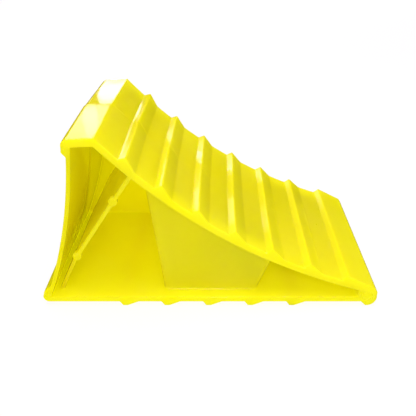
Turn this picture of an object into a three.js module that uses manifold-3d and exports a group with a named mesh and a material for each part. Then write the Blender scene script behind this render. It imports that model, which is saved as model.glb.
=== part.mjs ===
// Plastic wheel chock: a concave toothed ramp on a toothed base plate,
// stiffened inside by a zigzag of thin walls.
// Millimetres. +X runs from heel to toe, +Y across the width away from the open side, +Z up from the floor.
// Every outline below is drawn in the X-Z plane with x counted from the heel, and is extruded along Y.
import * as THREE from "three";
import { mergeVertices } from "three/addons/utils/BufferGeometryUtils.js";
import Module from "manifold-3d";

// ---- overall size ----
const LENGTH = 207.6;
const WIDTH = 124;
const NEAR_END = -WIDTH / 2;
const FAR_END = WIDTH / 2;

// ---- ramp: a circular arc, concave upwards ----
const RAMP_CENTRE = [292.65, 342.77];
const RAMP_RADIUS = 341.3;
const RAMP_THICKNESS = 4.2;
const RAMP_TOP_ANGLE = -137.2;
const RAMP_END_ANGLE = -104.7;
const RAMP_TOP_INNER_ANGLE = -136.7;
const RAMP_END_INNER_ANGLE = -106.2;
const ARC_STEP = 1.2;

// ---- ramp teeth: the steep side faces up the slope ----
const TOOTH_COUNT = 7;
const TOOTH_FIRST_ANGLE = -134.35;
const TOOTH_PITCH_ANGLE = 4.33;
const TOOTH_STEEP_ANGLE = 0.4;
const TOOTH_LAND_ANGLE = 0.16;
const TOOTH_FOOT_ANGLE = 2.1;
const TOOTH_HEIGHT = 3.6;

// ---- base plate and its gripping teeth ----
const BASE_BOTTOM = 2.9;
const BASE_TOP = 6.6;
const BASE_TOOTH_COUNT = 5;
const BASE_TOOTH_FIRST = 47.3;
const BASE_TOOTH_PITCH = 26;
const BASE_TOOTH_STEEP = 2;
const BASE_TOOTH_LAND = 3;
const BASE_TOOTH_SLOPE = 7;

// ---- back wall: a shallow arc, hollow towards the outside ----
const BACK_CENTRE = [-292.94, 130.14];
const BACK_RADIUS = 320.14;
const WALL_THICKNESS = 2.4;
const LIP_BOTTOM = 99.7;
const HEEL_TOP = 14.5;
const BACK_STEP = 8;

// ---- top plate and the rolled lip behind it ----
const LIP_CORNER = [26.4, 110.1];
const LIP_BULGE = [
  [23.4, 102.4],
  [23.7, 107.4],
  [24.4, 108.8],
];
const TOP_INNER_Z = 105.4;

// ---- heel and toe beads ----
const HEEL_RADIUS = 3.6;
const HEEL_SHOULDER = [1.1, 10.4];
const TOE_RADIUS = 6;
const TOE_SHOULDER_Z = 9.8;
const TOE_LAND_START = 200.8;
const TOE_FOOT_START = 198;
const TOE_INNER_X = 195.4;
const BEAD_SEGMENTS = 8;

// ---- zigzag walls between ramp and base ----
const STRUT_RAMP_ANGLES = [-132.6, -132.2];
const STRUT_UPPER_BEND = [
  [48, 73.1],
  [50, 71.7],
];
const STRUT_LOWER_BEND = [
  [23.5, 36.7],
  [25.5, 35.3],
];
const STRUT_FOOT_X = [8.6, 11.2];
const LEFT_WALL_RAMP_ANGLES = [-131.1, -130.7];
const LEFT_WALL_BASE_X = [74.8, 77.2];
const APEX_RAMP_ANGLES = [-123.35, -122.85, -122.35];
const RISING_WEB_BASE_X = [80.2, 82.9];
const FALLING_WEB_BASE_X = [127.6, 130.6];
const RIGHT_WALL_RAMP_ANGLES = [-115.95, -115.52];
const RIGHT_WALL_BASE_X = [131.2, 133.6];
const PANEL_THICKNESS = 2.4;
const PANEL_INSET = 9;

// ---- round pads on the strut's open edge ----
const PAD_RADIUS = 2.6;
const PAD_DEPTH = 4;
const PAD_CENTRES = [
  [49, 72.4],
  [24.5, 36],
];
const PAD_SEGMENTS = 24;

const YELLOW = 0xf2e41d;
const DEGREE = Math.PI / 180;

const plastic = new THREE.MeshStandardMaterial({ color: YELLOW, roughness: 0.28, metalness: 0 });
const group = new THREE.Group();
group.name = "wheel_chock";

// A point on the ramp's arc, raised above its upper surface by lift.
function onRamp(angle, lift) {
  const radius = RAMP_RADIUS - lift;
  return [
    RAMP_CENTRE[0] + radius * Math.cos(angle * DEGREE),
    RAMP_CENTRE[1] + radius * Math.sin(angle * DEGREE),
  ];
}

// Points along the ramp's arc from one angle to another, both ends included.
function rampArc(from, to, lift) {
  const steps = Math.max(1, Math.ceil(Math.abs(to - from) / ARC_STEP));
  return Array.from({ length: steps + 1 }, (_, i) => onRamp(from + ((to - from) * i) / steps, lift));
}

// A point of the back wall at height z, inset from its outer surface.
function onBack(z, inset) {
  const radius = BACK_RADIUS + inset;
  return [BACK_CENTRE[0] + Math.sqrt(radius ** 2 - (z - BACK_CENTRE[1]) ** 2), z];
}

// Points along the back wall between two heights, both ends included.
function backArc(from, to, inset) {
  const steps = Math.max(1, Math.ceil(Math.abs(to - from) / BACK_STEP));
  return Array.from({ length: steps + 1 }, (_, i) => onBack(from + ((to - from) * i) / steps, inset));
}

// Points on a circle, both ends included.
function circleArc(centre, radius, from, to, segments) {
  return Array.from({ length: segments + 1 }, (_, i) => {
    const angle = (from + ((to - from) * i) / segments) * DEGREE;
    return [centre[0] + radius * Math.cos(angle), centre[1] + radius * Math.sin(angle)];
  });
}

// An outline in the X-Z plane, extruded along Y between two stations.
function prism(outline, yFrom, yTo) {
  const shape = new THREE.Shape(outline.map(([x, z]) => new THREE.Vector2(x - LENGTH / 2, z)));
  const solid = new THREE.ExtrudeGeometry(shape, { depth: yTo - yFrom, bevelEnabled: false, steps: 1 });
  const upright = new THREE.Matrix4().makeBasis(
    new THREE.Vector3(1, 0, 0),
    new THREE.Vector3(0, 0, 1),
    new THREE.Vector3(0, -1, 0),
  );
  return solid.applyMatrix4(upright).translate(0, yTo, 0);
}

function add(name, geometry) {
  const mesh = new THREE.Mesh(geometry, plastic);
  mesh.name = name;
  group.add(mesh);
}

function addFullWidth(name, outline) {
  add(name, prism(outline, NEAR_END, FAR_END));
}

// Neighbouring outlines repeat these points exactly, so their faces meet without overlap.
const rampTop = onRamp(RAMP_TOP_ANGLE, 0);
const rampEnd = onRamp(RAMP_END_ANGLE, 0);
const topInner = onRamp(RAMP_TOP_INNER_ANGLE, -RAMP_THICKNESS);
const endInner = onRamp(RAMP_END_INNER_ANGLE, -RAMP_THICKNESS);
const lipInner = onBack(TOP_INNER_Z, WALL_THICKNESS);
const heelInner = onBack(HEEL_TOP, WALL_THICKNESS);
const heelCorner = onBack(BASE_TOP, WALL_THICKNESS);
const strutRamp = STRUT_RAMP_ANGLES.map((angle) => onRamp(angle, -RAMP_THICKNESS));
const leftWallRamp = LEFT_WALL_RAMP_ANGLES.map((angle) => onRamp(angle, -RAMP_THICKNESS));
const apexRamp = APEX_RAMP_ANGLES.map((angle) => onRamp(angle, -RAMP_THICKNESS));
const rightWallRamp = RIGHT_WALL_RAMP_ANGLES.map((angle) => onRamp(angle, -RAMP_THICKNESS));

// The ramp's underside as a run of arcs that break where a wall meets it.
const undersideBreaks = [
  RAMP_TOP_INNER_ANGLE,
  ...STRUT_RAMP_ANGLES,
  ...LEFT_WALL_RAMP_ANGLES,
  ...APEX_RAMP_ANGLES,
  ...RIGHT_WALL_RAMP_ANGLES,
  RAMP_END_INNER_ANGLE,
];

function underside(from, to) {
  const points = [onRamp(from, -RAMP_THICKNESS)];
  for (let i = undersideBreaks.indexOf(from); undersideBreaks[i] !== to; i++) {
    points.push(...rampArc(undersideBreaks[i], undersideBreaks[i + 1], -RAMP_THICKNESS).slice(1));
  }
  return points;
}

// ---- ramp plate with its teeth ----
function toothAngle(index) {
  return TOOTH_FIRST_ANGLE + TOOTH_PITCH_ANGLE * index;
}

function toothEnd(index) {
  return index === TOOTH_COUNT - 1 ? RAMP_END_ANGLE : toothAngle(index) + TOOTH_FOOT_ANGLE;
}

function addRamp() {
  const upper = [rampTop];
  let from = RAMP_TOP_ANGLE;
  for (let i = 0; i < TOOTH_COUNT; i++) {
    upper.push(...rampArc(from, toothAngle(i), 0).slice(1), onRamp(toothEnd(i), 0));
    from = toothEnd(i);
  }
  const lower = underside(RAMP_TOP_INNER_ANGLE, RAMP_END_INNER_ANGLE);
  addFullWidth("ramp_plate", [...lower, ...upper.reverse()]);

  for (let i = 0; i < TOOTH_COUNT; i++) {
    const foot = toothAngle(i);
    const tip = foot + TOOTH_STEEP_ANGLE;
    addFullWidth(`ramp_tooth_${i + 1}`, [
      onRamp(foot, 0),
      onRamp(toothEnd(i), 0),
      onRamp(tip + TOOTH_LAND_ANGLE, TOOTH_HEIGHT),
      onRamp(tip, TOOTH_HEIGHT),
    ]);
  }
}

// ---- top plate and lip ----
function addTop() {
  addFullWidth("top_plate", [lipInner, topInner, rampTop, LIP_CORNER]);
  addFullWidth("top_lip", [
    onBack(LIP_BOTTOM, 0),
    onBack(LIP_BOTTOM, WALL_THICKNESS),
    lipInner,
    LIP_CORNER,
    ...LIP_BULGE.slice().reverse(),
  ]);
}

// ---- back wall and heel ----
function addBack() {
  addFullWidth("back_wall", [
    ...backArc(HEEL_TOP, LIP_BOTTOM, WALL_THICKNESS),
    ...backArc(LIP_BOTTOM, HEEL_TOP, 0),
  ]);
  const roundCentre = [HEEL_RADIUS, BASE_BOTTOM + HEEL_RADIUS];
  addFullWidth("heel_bead", [
    heelInner,
    onBack(HEEL_TOP, 0),
    HEEL_SHOULDER,
    ...circleArc(roundCentre, HEEL_RADIUS, 180, 270, BEAD_SEGMENTS),
    [heelCorner[0], BASE_BOTTOM],
    heelCorner,
  ]);
}

// ---- base plate with its teeth ----
function addBase() {
  addFullWidth("base_plate", [
    [heelCorner[0], BASE_BOTTOM],
    [TOE_FOOT_START, BASE_BOTTOM],
    [TOE_INNER_X, BASE_TOP],
    heelCorner,
  ]);
  for (let i = 0; i < BASE_TOOTH_COUNT; i++) {
    const start = BASE_TOOTH_FIRST + BASE_TOOTH_PITCH * i;
    const land = start + BASE_TOOTH_STEEP;
    addFullWidth(`base_tooth_${i + 1}`, [
      [start, BASE_BOTTOM],
      [land, 0],
      [land + BASE_TOOTH_LAND, 0],
      [land + BASE_TOOTH_LAND + BASE_TOOTH_SLOPE, BASE_BOTTOM],
    ]);
  }
}

// ---- toe bead ----
function addToe() {
  const roundCentre = [LENGTH - TOE_RADIUS, TOE_RADIUS];
  addFullWidth("toe_bead", [
    [TOE_INNER_X, BASE_TOP],
    [TOE_FOOT_START, BASE_BOTTOM],
    [TOE_LAND_START, 0],
    ...circleArc(roundCentre, TOE_RADIUS, -90, 0, BEAD_SEGMENTS),
    [LENGTH, TOE_SHOULDER_Z],
    rampEnd,
    endInner,
  ]);
}

// ---- strut in the open left cell: two round pads on its near edge, and a foot set back ----
async function addStrut() {
  const wasm = await Module();
  wasm.setup();
  const toSolid = (geometry) => {
    const bare = new THREE.BufferGeometry().setAttribute("position", geometry.getAttribute("position"));
    const merged = mergeVertices(geometry.index ? bare.setIndex(geometry.index) : bare, 1e-4);
    return new wasm.Manifold(
      new wasm.Mesh({
        numProp: 3,
        vertProperties: new Float32Array(merged.attributes.position.array),
        triVerts: new Uint32Array(merged.index.array),
      }),
    );
  };
  const far = FAR_END - PANEL_INSET;
  const upper = [strutRamp[0], STRUT_UPPER_BEND[0], STRUT_LOWER_BEND[0]];
  const under = [STRUT_LOWER_BEND[1], STRUT_UPPER_BEND[1], strutRamp[1]];
  const web = prism([...upper, ...under], NEAR_END, far);
  const pads = PAD_CENTRES.map((centre) =>
    prism(
      circleArc(centre, PAD_RADIUS, 0, 360, PAD_SEGMENTS).slice(0, -1),
      NEAR_END,
      NEAR_END + PAD_DEPTH,
    ),
  );
  const joined = wasm.Manifold.union([web, ...pads].map(toSolid)).getMesh();
  const geometry = new THREE.BufferGeometry()
    .setAttribute("position", new THREE.BufferAttribute(joined.vertProperties, joined.numProp))
    .setIndex(new THREE.BufferAttribute(joined.triVerts, 1));
  add("strut", geometry);

  const foot = [
    STRUT_LOWER_BEND[0],
    [STRUT_FOOT_X[0], BASE_TOP],
    [STRUT_FOOT_X[1], BASE_TOP],
    STRUT_LOWER_BEND[1],
  ];
  add("strut_foot", prism(foot, NEAR_END + PANEL_INSET, far));
}

// ---- closed box in the middle: side walls, near panel and an upturned V of webs behind it ----
function addBox() {
  const near = NEAR_END + PANEL_INSET;
  const back = near + PANEL_THICKNESS;
  const far = FAR_END - PANEL_INSET;
  const walls = [
    ["box_left_wall", leftWallRamp, LEFT_WALL_BASE_X, near, far],
    ["box_right_wall", rightWallRamp, RIGHT_WALL_BASE_X, near, far],
    ["box_rising_web", apexRamp.slice(0, 2), RISING_WEB_BASE_X, back, FAR_END],
    ["box_falling_web", apexRamp.slice(1, 3), FALLING_WEB_BASE_X, back, FAR_END],
  ];
  for (const [name, ramp, baseX, yFrom, yTo] of walls) {
    add(name, prism([ramp[0], [baseX[0], BASE_TOP], [baseX[1], BASE_TOP], ramp[1]], yFrom, yTo));
  }
  const panel = [
    [LEFT_WALL_BASE_X[1], BASE_TOP],
    [RIGHT_WALL_BASE_X[0], BASE_TOP],
    ...underside(LEFT_WALL_RAMP_ANGLES[1], RIGHT_WALL_RAMP_ANGLES[0]).reverse(),
  ];
  add("box_near_panel", prism(panel, near, back));
}

// ---- far panels that close the open cells ----
function addFarPanels() {
  const outlines = {
    far_panel_back: [
      ...backArc(TOP_INNER_Z, LIP_BOTTOM, WALL_THICKNESS),
      ...backArc(LIP_BOTTOM, HEEL_TOP, WALL_THICKNESS).slice(1),
      heelCorner,
      [STRUT_FOOT_X[0], BASE_TOP],
      STRUT_LOWER_BEND[0],
      STRUT_UPPER_BEND[0],
      ...underside(RAMP_TOP_INNER_ANGLE, STRUT_RAMP_ANGLES[0]).reverse(),
    ],
    far_panel_middle: [
      [STRUT_FOOT_X[1], BASE_TOP],
      [LEFT_WALL_BASE_X[0], BASE_TOP],
      ...underside(STRUT_RAMP_ANGLES[1], LEFT_WALL_RAMP_ANGLES[0]).reverse(),
      STRUT_UPPER_BEND[1],
      STRUT_LOWER_BEND[1],
    ],
    far_panel_toe: [
      [RIGHT_WALL_BASE_X[1], BASE_TOP],
      [TOE_INNER_X, BASE_TOP],
      ...underside(RIGHT_WALL_RAMP_ANGLES[1], RAMP_END_INNER_ANGLE).reverse(),
    ],
  };
  const far = FAR_END - PANEL_INSET;
  for (const [name, outline] of Object.entries(outlines)) {
    add(name, prism(outline, far - PANEL_THICKNESS, far));
  }
}

addRamp();
addTop();
addBack();
addBase();
addToe();
await addStrut();
addBox();
addFarPanels();

export default group;
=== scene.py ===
"""Moulded plastic wheel chock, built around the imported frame.

Outlines are in millimetres: x counts from the heel, y across the width and z up from the floor.
"""

import math

import bmesh
import bpy
import numpy as np
from mathutils import Matrix, Vector
from mathutils.geometry import delaunay_2d_cdt


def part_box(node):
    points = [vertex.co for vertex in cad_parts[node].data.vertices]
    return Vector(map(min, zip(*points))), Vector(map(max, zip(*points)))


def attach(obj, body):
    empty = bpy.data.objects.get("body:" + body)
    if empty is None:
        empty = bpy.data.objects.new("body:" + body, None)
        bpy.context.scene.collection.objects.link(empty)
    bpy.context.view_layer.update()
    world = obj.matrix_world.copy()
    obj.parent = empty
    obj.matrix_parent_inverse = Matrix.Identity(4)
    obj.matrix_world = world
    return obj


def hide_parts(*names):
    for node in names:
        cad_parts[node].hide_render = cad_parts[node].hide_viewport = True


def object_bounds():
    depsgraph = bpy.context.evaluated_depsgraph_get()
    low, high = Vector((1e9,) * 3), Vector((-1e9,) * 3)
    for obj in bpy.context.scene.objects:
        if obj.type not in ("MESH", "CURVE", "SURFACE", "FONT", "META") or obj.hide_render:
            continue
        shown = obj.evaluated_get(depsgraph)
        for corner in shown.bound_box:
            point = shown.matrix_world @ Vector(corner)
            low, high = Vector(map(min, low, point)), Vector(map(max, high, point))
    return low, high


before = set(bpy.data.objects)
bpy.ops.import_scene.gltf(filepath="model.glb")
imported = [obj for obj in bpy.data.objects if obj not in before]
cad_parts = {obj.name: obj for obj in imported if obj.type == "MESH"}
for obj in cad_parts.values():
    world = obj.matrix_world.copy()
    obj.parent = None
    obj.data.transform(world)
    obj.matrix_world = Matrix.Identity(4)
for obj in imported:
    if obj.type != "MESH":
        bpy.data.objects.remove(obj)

CAD_LOW, CAD_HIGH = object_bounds()
MM = 0.001
HEEL_X = CAD_LOW[0]
LENGTH = (CAD_HIGH[0] - CAD_LOW[0]) / MM
NEAR = CAD_LOW[1] / MM
FAR = CAD_HIGH[1] / MM
HALF = FAR
PANEL_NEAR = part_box("box_near_panel")[0].y / MM
PANEL_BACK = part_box("box_near_panel")[1].y / MM
FAR_PANEL_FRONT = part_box("far_panel_toe")[0].y / MM
FAR_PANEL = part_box("far_panel_toe")[1].y / MM

# ---- camera, in metres and degrees ----
CAMERA_PLACE = (0.00644, -0.34484, 0.21683)
CAMERA_TILT = 62.398
CAMERA_LENS = 48.48
CAMERA_SHIFT = -0.0300

# ---- ramp and its teeth ----
RAMP_CENTRE = (292.65, 342.77)
RAMP_RADIUS = 341.3
RAMP_THICKNESS = 4.2
RAMP_TOP_ANGLE = -137.2
RAMP_END_ANGLE = -104.7
RAMP_TOP_INNER_ANGLE = -136.7
RAMP_END_INNER_ANGLE = -106.2
TOOTH_COUNT = 7
TOOTH_FIRST_ANGLE = -134.35
TOOTH_PITCH_ANGLE = 4.33
TOOTH_STEEP_ANGLE = 0.4
TOOTH_LAND_ANGLE = 0.16
TOOTH_FOOT_ANGLE = 2.1
TOOTH_HEIGHT = 3.6

# ---- base plate and its teeth ----
BASE_BOTTOM = 2.9
BASE_TOP = 6.6
BASE_TOOTH_COUNT = 5
BASE_TOOTH_FIRST = 47.3
BASE_TOOTH_PITCH = 26
BASE_TOOTH_STEEP = 2
BASE_TOOTH_LAND = 3
BASE_TOOTH_SLOPE = 7

# ---- back wall, top plate, lip and beads ----
BACK_CENTRE = (-292.94, 130.14)
BACK_RADIUS = 320.14
WALL_THICKNESS = 2.4
LIP_BOTTOM = 99.7
HEEL_TOP = 14.5
LIP_CORNER = (26.4, 110.1)
LIP_BULGE = ((24.4, 108.8), (23.7, 107.4), (23.4, 102.4))
TOP_INNER_Z = 105.4
HEEL_RADIUS = 3.6
HEEL_SHOULDER = (1.1, 10.4)
TOE_RADIUS = 6
TOE_SHOULDER_Z = 9.8
TOE_LAND_START = 200.8
TOE_FOOT_START = 198
TOE_INNER_X = 195.4

# ---- inner walls ----
STRUT_RAMP_ANGLES = (-132.6, -132.2)
STRUT_UPPER_BEND = ((48, 73.1), (50, 71.7))
STRUT_LOWER_BEND = ((23.5, 36.7), (25.5, 35.3))
STRUT_FOOT_X = (8.6, 11.2)
LEFT_WALL_RAMP_ANGLES = (-131.1, -130.7)
LEFT_WALL_BASE_X = (74.8, 77.2)
APEX_RAMP_ANGLES = (-123.35, -122.85, -122.35)
RISING_WEB_BASE_X = (80.2, 82.9)
FALLING_WEB_BASE_X = (127.6, 130.6)
RIGHT_WALL_RAMP_ANGLES = (-115.95, -115.52)
RIGHT_WALL_BASE_X = (131.2, 133.6)
PAD_RADIUS = 2.6
PAD_DEPTH = 4
PAD_CENTRES = ((49, 72.4), (24.5, 36))
GATE_ANGLE = -109.4
GATE_Y = 4
GATE_RADIUS = 1.0
GATE_TAPER = 0.7
GATE_HEIGHT = 0.4

# ---- rounding, and the swell towards the parting plane ----
END_ROUND = 0.65
COVE = 1.6
WALL_CORNER = 3.4
PANEL_SPREAD = 1.5
NEAR_GROWTH = 0.0052
FAR_GROWTH = 0.0036
PARTING = 0.02

# ---- ring marks pressed into the near end: centre, radius and depth ----
END_MARKS = (
    ((LENGTH - 6.4, 7.3), 3.2, 0.35),
    ((24.8, 104.0), 1.2, 0.25),
    ((3.4, 8.2), 1.3, 0.25),
)
MARK_WIDTH = 0.3
MARK_ROWS = (-0.6, -0.3, 0, 0.3, 0.6)
MARK_SEGMENTS = 32

# ---- how far solids run into each other, and a wall foot's spread in fillet radii ----
EMBED = 0.1
RAMP_SINK = 0.6
BASE_SINK = 0.5
FOOT_REACH = 1.6
WALL_OVERLAP = 1
ANGLE_OVERLAP = 0.15
TOE_OVERLAP = 0.3

# ---- mesh density and tolerances ----
SPACING = 1.5
RAMP_STEP_ANGLE = 0.25
ARC_TURN = math.radians(14)
NEARLY_STRAIGHT = math.radians(89)
EDGE_SHARE = 0.49
LEVELS = 4
POINT_GRID = 0.04
ROW_MARGIN = 0.97
MARK_MARGIN = 0.15
ON_EDGE = 0.001
SLIVER = 0.001
WELD = 0.002
SHORTEST_EDGE = 1e-4
SMALL = 1e-6
SHARP_ANGLE = 38
TINY = 1e-12
BLOCK = 800
FAR_AWAY = 1e9
OFF_SHEET = 1e6

# ---- light, with its aim in metres ----
LIGHT_TINT = (1.0, 0.84, 0.9)
AIM = (-0.06, 0, 0.1)

# What an outline's edge does at an end: stays sharp, is rounded off, or runs out in a cove.
SHARP, ROUND, JOIN = 0, 1, 2


# ------------------------------------------------------------------ outlines
def on_ramp(angle, lift=0.0):
    radius = RAMP_RADIUS - lift
    turn = math.radians(angle)
    return (RAMP_CENTRE[0] + radius * math.cos(turn), RAMP_CENTRE[1] + radius * math.sin(turn))


def on_back(z, inset=0.0):
    radius = BACK_RADIUS + inset
    return (BACK_CENTRE[0] + math.sqrt(radius ** 2 - (z - BACK_CENTRE[1]) ** 2), z)


def steps(start, end, step):
    count = max(1, math.ceil(abs(end - start) / step))
    return [start + (end - start) * i / count for i in range(count + 1)]


def corner(point, radius=0.0, kind=ROUND):
    """A corner of an outline, and the kind of the edge that leaves it."""
    return (point[0], point[1], radius, kind)


def ramp_run(start, end, lift, kind=ROUND):
    """Corners along the ramp's arc between two angles, ends left out."""
    return [corner(on_ramp(a, lift), 0, kind) for a in steps(start, end, RAMP_STEP_ANGLE)[1:-1]]


def back_run(start, end, inset, kind=ROUND):
    return [corner(on_back(z, inset), 0, kind) for z in steps(start, end, SPACING)[1:-1]]


def disc(centre, radius, start, end, count):
    points = []
    for i in range(count + 1):
        turn = math.radians(start + (end - start) * i / count)
        x = centre[0] + radius * math.cos(turn)
        z = centre[1] + radius * math.sin(turn)
        points.append(corner((x, z)))
    return points


def fillet(before, here, after, radius):
    """Points of the arc that rounds a corner."""
    p, a, b = (np.array(v[:2], float) for v in (here, before, after))
    u, v = a - p, b - p
    lu, lv = np.linalg.norm(u), np.linalg.norm(v)
    u, v = u / lu, v / lv
    half = math.acos(max(-1.0, min(1.0, float(u @ v)))) / 2
    if half > NEARLY_STRAIGHT:
        return [p]
    reach = min(radius / math.tan(half), EDGE_SHARE * lu, EDGE_SHARE * lv)
    radius = reach * math.tan(half)
    middle = (u + v) / np.linalg.norm(u + v)
    centre = p + middle * radius / math.sin(half)
    first, last = p + u * reach - centre, p + v * reach - centre
    turn = math.pi - 2 * half
    count = max(2, math.ceil(turn / ARC_TURN))
    way = 1.0 if first[0] * last[1] - first[1] * last[0] > 0 else -1.0
    points = []
    for i in range(count + 1):
        t = way * turn * i / count
        c, s = math.cos(t), math.sin(t)
        points.append(centre + np.array((c * first[0] - s * first[1], s * first[0] + c * first[1])))
    return points


def outline(corners, hole=False):
    """Points and edge kinds of a loop with rounded corners, with the solid on its left."""
    points, kinds = [], []
    count = len(corners)
    for i, here in enumerate(corners):
        before, after = corners[i - 1], corners[(i + 1) % count]
        arc = fillet(before, here, after, here[2]) if here[2] > 0 else [np.array(here[:2], float)]
        for j, p in enumerate(arc):
            points.append(p)
            kinds.append(here[3] if 2 * j >= len(arc) - 1 else before[3])
    fine, fine_kinds = [], []
    for i, p in enumerate(points):
        q = points[(i + 1) % len(points)]
        length = float(np.linalg.norm(q - p))
        if length < SHORTEST_EDGE:
            continue
        pieces = max(1, math.ceil(length / SPACING))
        for j in range(pieces):
            fine.append(p + (q - p) * j / pieces)
            fine_kinds.append(kinds[i])
    fine = np.array(fine)
    following = np.roll(fine, -1, axis=0)
    area = float(np.sum(fine[:, 0] * following[:, 1] - fine[:, 1] * following[:, 0])) / 2
    if (area > 0) == hole:
        fine = fine[::-1].copy()
        fine_kinds = fine_kinds[::-1]
        fine_kinds = fine_kinds[1:] + fine_kinds[:1]
    return fine, np.array(fine_kinds)


def tooth_end(index):
    if index == TOOTH_COUNT - 1:
        return RAMP_END_ANGLE
    return TOOTH_FIRST_ANGLE + TOOTH_PITCH_ANGLE * index + TOOTH_FOOT_ANGLE


def base_corners():
    corners = []
    for i in range(BASE_TOOTH_COUNT):
        start = BASE_TOOTH_FIRST + BASE_TOOTH_PITCH * i
        land = start + BASE_TOOTH_STEEP
        corners += [
            corner((start, BASE_BOTTOM), 0.8),
            corner((land, 0), 0.5),
            corner((land + BASE_TOOTH_LAND, 0), 0.8),
            corner((land + BASE_TOOTH_LAND + BASE_TOOTH_SLOPE, BASE_BOTTOM), 2.0),
        ]
    return corners


def ramp_corners():
    corners = [corner(on_ramp(RAMP_END_ANGLE), 1.0)]
    for i in reversed(range(TOOTH_COUNT)):
        foot = TOOTH_FIRST_ANGLE + TOOTH_PITCH_ANGLE * i
        tip = foot + TOOTH_STEEP_ANGLE
        if i < TOOTH_COUNT - 1:
            corners.append(corner(on_ramp(tooth_end(i)), 2.5))
        corners += [
            corner(on_ramp(tip + TOOTH_LAND_ANGLE, TOOTH_HEIGHT), 0.35),
            corner(on_ramp(tip, TOOTH_HEIGHT), 0.3),
            corner(on_ramp(foot), 0.9),
        ]
        above = tooth_end(i - 1) if i else RAMP_TOP_ANGLE
        corners += ramp_run(foot, above, 0)
    return corners


def outer_loop():
    return outline([
        *disc((HEEL_RADIUS, BASE_BOTTOM + HEEL_RADIUS), HEEL_RADIUS, 180, 270, 10),
        *base_corners(),
        corner((TOE_FOOT_START, BASE_BOTTOM), 0.8),
        corner((TOE_LAND_START, 0), 0.6),
        *disc((LENGTH - TOE_RADIUS, TOE_RADIUS), TOE_RADIUS, -90, 0, 12),
        corner((LENGTH, TOE_SHOULDER_Z), 0.9),
        *ramp_corners(),
        corner(on_ramp(RAMP_TOP_ANGLE), 0.8),
        corner(LIP_CORNER, 1.2),
        corner(LIP_BULGE[0], 0.8),
        corner(LIP_BULGE[1], 1.5),
        corner(LIP_BULGE[2], 1.2),
        corner(on_back(LIP_BOTTOM), 1.5),
        *back_run(LIP_BOTTOM, HEEL_TOP, 0),
        corner(on_back(HEEL_TOP), 5),
        corner(HEEL_SHOULDER, 3),
    ])


def inner_loop():
    lift = -RAMP_THICKNESS
    return outline([
        corner(on_back(BASE_TOP, WALL_THICKNESS), 1.5),
        corner((TOE_INNER_X, BASE_TOP), 1.2),
        corner(on_ramp(RAMP_END_INNER_ANGLE, lift), 1.2),
        *ramp_run(RAMP_END_INNER_ANGLE, RAMP_TOP_INNER_ANGLE, lift),
        corner(on_ramp(RAMP_TOP_INNER_ANGLE, lift), 1.5),
        corner(on_back(TOP_INNER_Z, WALL_THICKNESS), 2.0),
        *back_run(TOP_INNER_Z, BASE_TOP, WALL_THICKNESS),
    ], hole=True)


# ------------------------------------------------------------------ solids
def distance(points, starts, ends):
    """Each point's distance to the nearest of many segments."""
    if not len(starts):
        return np.full(len(points), FAR_AWAY)
    along = ends - starts
    length = np.maximum((along ** 2).sum(1), TINY)
    best = np.full(len(points), FAR_AWAY)
    for first in range(0, len(points), BLOCK):
        block = points[first:first + BLOCK]
        gap = block[:, None, :] - starts[None]
        t = np.clip((gap * along[None]).sum(2) / length[None], 0, 1)
        away = gap - t[..., None] * along[None]
        best[first:first + BLOCK] = np.sqrt((away ** 2).sum(2)).min(1)
    return best


def inside(points, starts, ends):
    """Even-odd test against all loops at once."""
    hit = np.zeros(len(points), bool)
    for first in range(0, len(points), BLOCK):
        block = points[first:first + BLOCK]
        x, z = block[:, :1], block[:, 1:]
        cross = (starts[None, :, 1] > z) != (ends[None, :, 1] > z)
        rise = ends[:, 1] - starts[:, 1]
        rise = np.where(np.abs(rise) < TINY, TINY, rise)
        at = starts[None, :, 0] + (z - starts[None, :, 1]) * (ends - starts)[None, :, 0] / rise[None]
        hit[first:first + BLOCK] = (cross & (x < at)).sum(1) % 2 == 1
    return hit


def quarter(depth, radius):
    """How far a rounded edge of this radius falls back at a distance in from the edge."""
    left = np.clip(radius - depth, 0, radius)
    return radius - np.sqrt(np.maximum(radius ** 2 - left ** 2, 0))


class End:
    """One end of a solid: its station along Y and what each kind of edge does there."""

    def __init__(self, y, round_radius=END_ROUND, join_radius=0.0, marks=()):
        self.y = y
        self.radius = {SHARP: 0.0, ROUND: round_radius, JOIN: join_radius}
        self.marks = marks

    def recess(self, points, starts, ends, kinds):
        """How far the end face falls back into the solid at each point."""
        fall = np.zeros(len(points))
        for kind, sign in ((ROUND, 1.0), (JOIN, -1.0)):
            radius = self.radius[kind]
            chosen = kinds == kind
            if radius > 0 and chosen.any():
                depth = distance(points, starts[chosen], ends[chosen])
                depth[depth < ON_EDGE] = 0
                if kind == JOIN:
                    depth = np.maximum(depth - EMBED, 0)
                fall += sign * quarter(depth, radius)
        for centre, size, depth in self.marks:
            away = np.hypot(points[:, 0] - centre[0], points[:, 1] - centre[1]) - size
            fall += depth * np.exp(-(away / MARK_WIDTH) ** 2)
        return fall


def gather(loops):
    """The edges of all loops: where each starts and ends, and its kind."""
    points = np.concatenate([p for p, _ in loops])
    kinds = np.concatenate([k for _, k in loops])
    ends = np.concatenate([np.roll(p, -1, axis=0) for p, _ in loops])
    return points, ends, kinds


def inward(points):
    """Unit directions into the solid, and how much further a corner's offset has to go."""
    forward = np.roll(points, -1, axis=0) - points
    forward /= np.linalg.norm(forward, axis=1)[:, None]
    normal = np.stack([-forward[:, 1], forward[:, 0]], 1)
    joined = normal + np.roll(normal, 1, axis=0)
    size = np.linalg.norm(joined, axis=1)[:, None]
    joined /= np.maximum(size, SMALL)
    stretch = np.clip(1 / np.maximum((joined * normal).sum(1), 0.5), 1, 1.4)
    return joined, stretch


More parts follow.
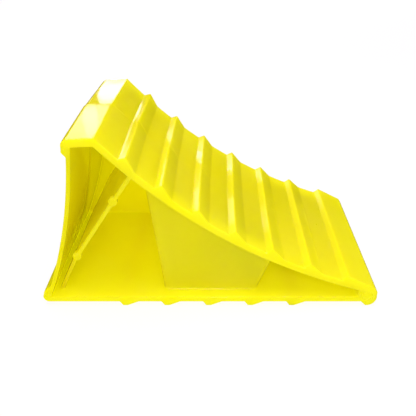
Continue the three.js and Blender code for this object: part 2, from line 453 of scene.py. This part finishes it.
def regions(faces, border):
    """A number for each triangle, the same for all that can be reached without crossing a border edge."""
    beside = {}
    for number, face in enumerate(faces):
        for i in range(3):
            edge = frozenset((face[i], face[(i + 1) % 3]))
            if edge not in border:
                beside.setdefault(edge, []).append(number)
    neighbours = [[] for _ in faces]
    for pair in beside.values():
        if len(pair) == 2:
            neighbours[pair[0]].append(pair[1])
            neighbours[pair[1]].append(pair[0])
    region = np.full(len(faces), -1)
    count = 0
    for number in range(len(faces)):
        if region[number] >= 0:
            continue
        region[number] = count
        queue = [number]
        while queue:
            for other in neighbours[queue.pop()]:
                if region[other] < 0:
                    region[other] = count
                    queue.append(other)
        count += 1
    return region


def cap(loops, end):
    """Triangles of an end face, with rows of points that follow its rounded edges."""
    starts, ends, kinds = gather(loops)
    points = [tuple(p) for p in starts]
    edges = []
    base = 0
    for loop, _ in loops:
        edges += [(base + i, base + (i + 1) % len(loop)) for i in range(len(loop))]
        base += len(loop)
    border_count = len(edges)
    taken = {(round(x / POINT_GRID), round(z / POINT_GRID)) for x, z in points}

    def add(candidates, least):
        fits = (distance(candidates, starts, ends) >= least) & inside(candidates, starts, ends)
        rows = []
        for p, fit in zip(candidates, fits):
            key = (round(p[0] / POINT_GRID), round(p[1] / POINT_GRID))
            if not fit or key in taken:
                rows.append(None)
                continue
            taken.add(key)
            rows.append(len(points))
            points.append(tuple(p))
        return rows

    for level in range(1, LEVELS + 1):
        turn = math.pi / 2 * level / LEVELS
        for loop, loop_kinds in loops:
            direction, stretch = inward(loop)
            radius = np.array([end.radius[k] for k in loop_kinds])
            shift = np.array([EMBED if k == JOIN else 0.0 for k in loop_kinds])
            depth = radius * (1 - math.cos(turn)) + shift
            wanted = depth > SMALL
            candidates = loop + direction * (depth * stretch)[:, None]
            candidates[~wanted] = OFF_SHEET
            rows = add(candidates, np.where(wanted, depth * ROW_MARGIN, FAR_AWAY))
            for a, b in zip(rows, rows[1:] + rows[:1]):
                if a is not None and b is not None and math.dist(points[a], points[b]) < 2 * SPACING:
                    edges.append((a, b))
    around = np.linspace(0, 2 * math.pi, MARK_SEGMENTS + 1)[:-1]
    for centre, radius, _ in end.marks:
        for row in MARK_ROWS:
            x = centre[0] + (radius + row) * np.cos(around)
            z = centre[1] + (radius + row) * np.sin(around)
            add(np.stack([x, z], 1), MARK_MARGIN)
    sheet = [Vector(p) for p in points]
    made, joins, faces, _, sources, _ = delaunay_2d_cdt(sheet, edges, [], 0, SMALL)
    made = np.array([tuple(v) for v in made])
    faces = np.array([f for f in faces if len(f) == 3])
    border = {frozenset(e) for e, source in zip(joins, sources) if any(i < border_count for i in source)}
    region = regions(faces, border)
    a, b, c = (made[faces[:, i]] for i in range(3))
    area = np.abs((b - a)[:, 0] * (c - a)[:, 1] - (b - a)[:, 1] * (c - a)[:, 0])
    members = [np.flatnonzero(region == number) for number in range(region.max() + 1)]
    largest = np.array([member[area[member].argmax()] for member in members])
    solid = inside(made[faces[largest]].mean(1), starts, ends) & (area[largest] > SLIVER)
    return made, faces[solid[region]], end.recess(made, starts, ends, kinds)


def placed(x, y, z):
    """A point in the frame: the moulding swells slightly from each end towards the parting plane."""
    share = 1 - abs(y) / HALF
    swell = 1 + (NEAR_GROWTH if y < 0 else FAR_GROWTH) * max(0.0, share)
    return Vector((
        HEEL_X + (LENGTH + (x - LENGTH) * swell) * MM,
        y * MM,
        z * swell * MM,
    ))


def solid_object(name, maker):
    """The finished bmesh as a closed solid in the scene."""
    bmesh.ops.remove_doubles(maker, verts=maker.verts, dist=WELD * MM)
    bmesh.ops.recalc_face_normals(maker, faces=maker.faces)
    mesh = bpy.data.meshes.new(name)
    maker.to_mesh(mesh)
    maker.free()
    solid = bpy.data.objects.new(name, mesh)
    bpy.context.scene.collection.objects.link(solid)
    return solid


def fuse(name, solids, *nodes):
    """One seamless piece out of solids that overlap, as the real part is one moulding."""
    body = solids[0]
    for other in solids[1:]:
        union = body.modifiers.new(other.name, "BOOLEAN")
        union.operation = "UNION"
        union.solver = "MANIFOLD"
        union.object = other
    bpy.context.view_layer.update()
    united = body.evaluated_get(bpy.context.evaluated_depsgraph_get())
    mesh = bpy.data.meshes.new_from_object(united)
    mesh.name = name
    for solid in solids:
        bpy.data.objects.remove(solid)
    mesh.materials.clear()
    mesh.materials.append(PLASTIC)
    mesh.shade_smooth()
    mesh.set_sharp_from_angle(angle=math.radians(SHARP_ANGLE))
    piece = bpy.data.objects.new(name, mesh)
    bpy.context.scene.collection.objects.link(piece)
    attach(piece, "root")
    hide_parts(*nodes)
    even = piece.modifiers.new("even_normals", "WEIGHTED_NORMAL")
    even.mode = "FACE_AREA"
    even.weight = 50
    even.keep_sharp = True


def moulding(name, loops, near, far):
    """A solid between two ends, with rounded or coved edges, as one closed mesh."""
    maker = bmesh.new()
    for end, side in ((near, 1.0), (far, -1.0)):
        points, faces, fall = cap(loops, end)
        verts = [maker.verts.new(placed(p[0], end.y + side * f, p[1])) for p, f in zip(points, fall)]
        for face in faces:
            maker.faces.new([verts[i] for i in face])
    starts, ends, kinds = gather(loops)
    for loop, _ in loops:
        low = near.y + near.recess(loop, starts, ends, kinds)
        high = far.y - far.recess(loop, starts, ends, kinds)
        rings = [(low, loop)]
        if near.y < 0 < far.y:
            rings += [(np.full(len(loop), -PARTING), loop), (np.full(len(loop), PARTING), loop)]
        rings.append((high, loop))
        made = [[maker.verts.new(placed(p[0], y, p[1])) for y, p in zip(ys, ps)] for ys, ps in rings]
        for a, b in zip(made, made[1:]):
            for i in range(len(loop)):
                j = (i + 1) % len(loop)
                maker.faces.new((a[i], a[j], b[j], b[i]))
    return solid_object(name, maker)


# ------------------------------------------------------------------ material
def plastic_material():
    material = bpy.data.materials.new("yellow_plastic")
    material.use_nodes = True
    nodes, links = material.node_tree.nodes, material.node_tree.links
    shader = nodes["Principled BSDF"]
    shader.inputs["IOR"].default_value = 1.42
    shader.inputs["Subsurface Weight"].default_value = 1.0
    shader.inputs["Subsurface Radius"].default_value = (1.0, 0.95, 0.06)
    shader.inputs["Subsurface Scale"].default_value = 0.018
    place = nodes.new("ShaderNodeTexCoord")

    def noise(scale, detail, rough=0.5):
        made = nodes.new("ShaderNodeTexNoise")
        made.inputs["Scale"].default_value = scale
        made.inputs["Detail"].default_value = detail
        made.inputs["Roughness"].default_value = rough
        links.new(place.outputs["Object"], made.inputs["Vector"])
        return made.outputs["Fac"]

    tint = nodes.new("ShaderNodeValToRGB")
    tint.color_ramp.elements[0].position = 0.3
    tint.color_ramp.elements[0].color = (0.99, 0.928, 0.01, 1)
    tint.color_ramp.elements[1].position = 0.7
    tint.color_ramp.elements[1].color = (0.997, 0.943, 0.022, 1)
    links.new(noise(28, 3), tint.inputs["Fac"])
    links.new(tint.outputs["Color"], shader.inputs["Base Color"])

    gloss = nodes.new("ShaderNodeMapRange")
    gloss.inputs["To Min"].default_value = 0.045
    gloss.inputs["To Max"].default_value = 0.09
    links.new(noise(90, 4, 0.6), gloss.inputs["Value"])
    links.new(gloss.outputs["Result"], shader.inputs["Roughness"])

    wave = nodes.new("ShaderNodeBump")
    wave.inputs["Strength"].default_value = 0.25
    wave.inputs["Distance"].default_value = 0.0006
    links.new(noise(35, 2), wave.inputs["Height"])
    peel = nodes.new("ShaderNodeBump")
    peel.inputs["Strength"].default_value = 0.08
    peel.inputs["Distance"].default_value = 0.00012
    links.new(noise(900, 3), peel.inputs["Height"])
    links.new(wave.outputs["Normal"], peel.inputs["Normal"])
    links.new(peel.outputs["Normal"], shader.inputs["Normal"])
    return material


PLASTIC = plastic_material()


# ------------------------------------------------------------------ pieces
def gate_mark():
    """The low round stub on the lower part of the ramp, near mid-width, taken for a gate mark."""
    x, z = on_ramp(GATE_ANGLE)
    upward = Vector((RAMP_CENTRE[0] - x, 0, RAMP_CENTRE[1] - z))
    turn = upward.to_track_quat("Z", "Y").to_matrix().to_4x4()
    maker = bmesh.new()
    bmesh.ops.create_cone(
        maker, cap_ends=True, segments=24,
        radius1=GATE_RADIUS * MM, radius2=GATE_TAPER * GATE_RADIUS * MM, depth=2 * GATE_HEIGHT * MM,
        matrix=Matrix.Translation(placed(x, GATE_Y, z)) @ turn,
    )
    return solid_object("gate_mark", maker)


def build_shell():
    shell = moulding("shell", [outer_loop(), inner_loop()], End(NEAR, marks=END_MARKS), End(FAR))
    return [shell, gate_mark()]


def ramp_joint(left_angle, right_angle, foot):
    """A wall's corners at the ramp's underside, those before its left side and those after its right."""
    lift = -(RAMP_THICKNESS - EMBED)
    deep = -(RAMP_THICKNESS - RAMP_SINK)
    turn = math.degrees(foot * FOOT_REACH / (RAMP_RADIUS + RAMP_THICKNESS))
    before = [
        corner(on_ramp(left_angle - turn, lift), 0, SHARP),
        corner(on_ramp(left_angle, lift), foot, ROUND),
    ]
    after = [
        corner(on_ramp(right_angle, lift), foot, SHARP),
        corner(on_ramp(right_angle + turn, lift), 0, SHARP),
        corner(on_ramp(right_angle + turn, deep), 0, SHARP),
        corner(on_ramp(left_angle - turn, deep), 0, SHARP),
    ]
    return before, after


def base_joint(left_x, right_x, foot):
    """The corners of a wall's outline where it meets the base plate."""
    z = BASE_TOP - EMBED
    reach = foot * FOOT_REACH
    return [
        corner((left_x, z), foot, SHARP),
        corner((left_x - reach, z), 0, SHARP),
        corner((left_x - reach, z - BASE_SINK), 0, SHARP),
        corner((right_x + reach, z - BASE_SINK), 0, SHARP),
        corner((right_x + reach, z), 0, SHARP),
        corner((right_x, z), foot, ROUND),
    ]


def web(name, angles, base_x, near, far, foot=1.8):
    """A straight wall from the ramp's underside to the base plate."""
    before, after = ramp_joint(*angles, foot)
    return moulding(name, [outline([*before, *base_joint(*base_x, foot), *after])], near, far)


def build_strut():
    before, after = ramp_joint(*STRUT_RAMP_ANGLES, 1.2)
    (upper_left, upper_right), (lower_left, lower_right) = STRUT_UPPER_BEND, STRUT_LOWER_BEND
    loop = outline([
        *before,
        corner(upper_left, 3),
        corner(lower_left, 0.7),
        corner(lower_right, 0.7),
        corner(upper_right, 3),
        *after,
    ])
    back = End(FAR_PANEL_FRONT + WALL_OVERLAP, 0)
    solids = [moulding("strut", [loop], End(NEAR), back)]
    inset, rise = 0.15, 1.2
    foot = outline([
        corner((lower_left[0] + inset + rise, lower_left[1] + rise), 0, SHARP),
        corner((lower_left[0] + inset, lower_left[1]), 2),
        *base_joint(*STRUT_FOOT_X, 1.2),
        corner((lower_right[0] - inset, lower_right[1]), 2, SHARP),
        corner((lower_right[0] - inset + rise, lower_right[1] + rise), 0, SHARP),
    ])
    solids.append(moulding("strut_foot", [foot], End(PANEL_NEAR), back))
    for i, centre in enumerate(PAD_CENTRES):
        pad = outline(disc(centre, PAD_RADIUS, 0, 360, 28)[:-1])
        near = End(NEAR - 0.25, 0.7, marks=((centre, 1.2, 0.1),))
        solids.append(moulding(f"strut_pad_{i + 1}", [pad], near, End(NEAR + PAD_DEPTH, 0.3)))
    return solids


def build_box():
    inset, behind = 0.05, PANEL_BACK + PANEL_SPREAD - 0.3
    (left_angle, left_inner), (right_inner, right_angle) = LEFT_WALL_RAMP_ANGLES, RIGHT_WALL_RAMP_ANGLES
    (left_x, left_inner_x), (right_inner_x, right_x) = LEFT_WALL_BASE_X, RIGHT_WALL_BASE_X
    wall = End(behind, 0), End(FAR_PANEL, 0.5)
    low = End(behind, 0), End(FAR, 0.7)
    solids = [
        web("box_left_wall", (left_angle + 0.01, left_inner), (left_x + inset, left_inner_x), *wall),
        web("box_right_wall", (right_inner, right_angle - 0.01), (right_inner_x, right_x - inset), *wall),
        web("box_rising_web", APEX_RAMP_ANGLES[:2], RISING_WEB_BASE_X, *low, foot=0.9),
        web("box_falling_web", APEX_RAMP_ANGLES[1:], FALLING_WEB_BASE_X, *low, foot=0.9),
    ]
    lift = -(RAMP_THICKNESS - EMBED)
    z = BASE_TOP - EMBED
    panel = outline([
        corner((LEFT_WALL_BASE_X[0], z), 0, JOIN),
        corner((RIGHT_WALL_BASE_X[1], z), 0, ROUND),
        corner(on_ramp(RIGHT_WALL_RAMP_ANGLES[1], lift), 0, JOIN),
        *ramp_run(RIGHT_WALL_RAMP_ANGLES[1], LEFT_WALL_RAMP_ANGLES[0], lift, JOIN),
        corner(on_ramp(LEFT_WALL_RAMP_ANGLES[0], lift), 0, ROUND),
    ])
    near = End(PANEL_NEAR, WALL_CORNER, COVE)
    return [moulding("box_near_panel", [panel], near, End(PANEL_BACK + PANEL_SPREAD, 0, 1.0)), *solids]


def build_far_panels():
    lift = -(RAMP_THICKNESS - EMBED)
    z = BASE_TOP - EMBED
    inset = WALL_THICKNESS - EMBED
    left = outline([
        corner(on_back(z, inset), 0, JOIN),
        corner((LEFT_WALL_BASE_X[0] + WALL_OVERLAP, z), 0, SHARP),
        corner(on_ramp(LEFT_WALL_RAMP_ANGLES[0] + ANGLE_OVERLAP, lift), 0, JOIN),
        *ramp_run(LEFT_WALL_RAMP_ANGLES[0] + ANGLE_OVERLAP, RAMP_TOP_INNER_ANGLE, lift, JOIN),
        corner(on_ramp(RAMP_TOP_INNER_ANGLE, lift), 0, JOIN),
        corner(on_back(TOP_INNER_Z + EMBED, inset), 0, JOIN),
        *back_run(TOP_INNER_Z + EMBED, z, inset, JOIN),
    ])
    ends = End(FAR_PANEL_FRONT, 0, COVE), End(FAR_PANEL, 0, COVE)
    right = outline([
        corner((RIGHT_WALL_BASE_X[1] - WALL_OVERLAP, z), 0, JOIN),
        corner((TOE_INNER_X + TOE_OVERLAP, z), 0, JOIN),
        corner(on_ramp(RAMP_END_INNER_ANGLE, lift), 0, JOIN),
        *ramp_run(RAMP_END_INNER_ANGLE, RIGHT_WALL_RAMP_ANGLES[1] - ANGLE_OVERLAP, lift, JOIN),
        corner(on_ramp(RIGHT_WALL_RAMP_ANGLES[1] - ANGLE_OVERLAP, lift), 0, SHARP),
    ])
    return [moulding("far_panel_heel", [left], *ends), moulding("far_panel_toe", [right], *ends)]


NODES = [
    "ramp_plate", "top_plate", "top_lip", "back_wall", "heel_bead", "base_plate", "toe_bead",
    *[f"ramp_tooth_{i + 1}" for i in range(TOOTH_COUNT)],
    *[f"base_tooth_{i + 1}" for i in range(BASE_TOOTH_COUNT)],
    "strut", "strut_foot",
    "box_left_wall", "box_right_wall", "box_rising_web", "box_falling_web", "box_near_panel",
    "far_panel_back", "far_panel_middle", "far_panel_toe",
]
fuse("wheel_chock", build_shell() + build_strut() + build_box() + build_far_panels(), *NODES)


# ------------------------------------------------------------------ stage, light and camera
def build_stage():
    mesh = bpy.data.meshes.new("floor")
    size = 6.0
    corners = [(-size, -size, 0), (size, -size, 0), (size, size, 0), (-size, size, 0)]
    mesh.from_pydata(corners, [], [(0, 1, 2, 3)])
    floor = bpy.data.objects.new("floor", mesh)
    bpy.context.scene.collection.objects.link(floor)
    material = bpy.data.materials.new("pale_floor")
    material.use_nodes = True
    shader = material.node_tree.nodes["Principled BSDF"]
    shader.inputs["Base Color"].default_value = (0.15, 0.15, 0.15, 1)
    shader.inputs["Roughness"].default_value = 1.0
    shader.inputs["Specular IOR Level"].default_value = 0.0
    shader.inputs["Emission Color"].default_value = (1, 0.99, 0.99, 1)
    shader.inputs["Emission Strength"].default_value = 0.86
    mesh.materials.append(material)
    floor.visible_glossy = False


def softbox(name, place, size, power):
    """An area light that faces the object. Places are in metres."""
    light = bpy.data.lights.new(name, "AREA")
    light.color = LIGHT_TINT
    light.shape = "RECTANGLE"
    light.size, light.size_y = size
    light.energy = power
    lamp = bpy.data.objects.new(name, light)
    lamp.location = place
    lamp.rotation_euler = (Vector(AIM) - Vector(place)).to_track_quat("-Z", "Y").to_euler()
    lamp.visible_camera = False
    bpy.context.scene.collection.objects.link(lamp)
    return lamp


def build_light():
    world = bpy.data.worlds.new("studio")
    bpy.context.scene.world = world
    world.use_nodes = True
    background = world.node_tree.nodes["Background"]
    background.inputs["Color"].default_value = (1, 0.92, 0.94, 1)
    background.inputs["Strength"].default_value = 0.42
    world.cycles_visibility.glossy = False
    softbox("back_low", (-0.475, 1.19, 0.285), (0.21, 0.17), 0.17)
    softbox("back_mid", (-0.19, 1.19, 0.29), (0.17, 0.168), 0.52)
    softbox("back_top", (-0.321, 1.19, 0.40), (0.083, 0.07), 0.09)
    softbox("back_high", (-0.405, 1.13, 0.511), (0.15, 0.098), 0.10)
    softbox("back_band", (-0.39, 1.13, 0.511), (0.04, 0.098), 0.018)
    softbox("overhead", (0, -0.1, 1.5), (1.2, 1.2), 19.0)
    softbox("rear", (0, 1.5, 0.25), (1.2, 0.4), 5.0).visible_glossy = False
    softbox("front", (0, -1.4, 0.85), (0.8, 0.8), 8.0).visible_glossy = False


def build_camera():
    data = bpy.data.cameras.new("camera")
    data.lens = CAMERA_LENS
    data.sensor_width = 36
    data.shift_x = CAMERA_SHIFT
    data.clip_start = 0.01
    camera = bpy.data.objects.new("camera", data)
    camera.location = CAMERA_PLACE
    camera.rotation_euler = (math.radians(CAMERA_TILT), 0, 0)
    bpy.context.scene.collection.objects.link(camera)
    bpy.context.scene.camera = camera


build_stage()
build_light()
build_camera()
bpy.context.scene.view_settings.view_transform = "Standard"
bpy.context.scene.cycles.diffuse_bounces = 16
bpy.context.scene.cycles.max_bounces = 24
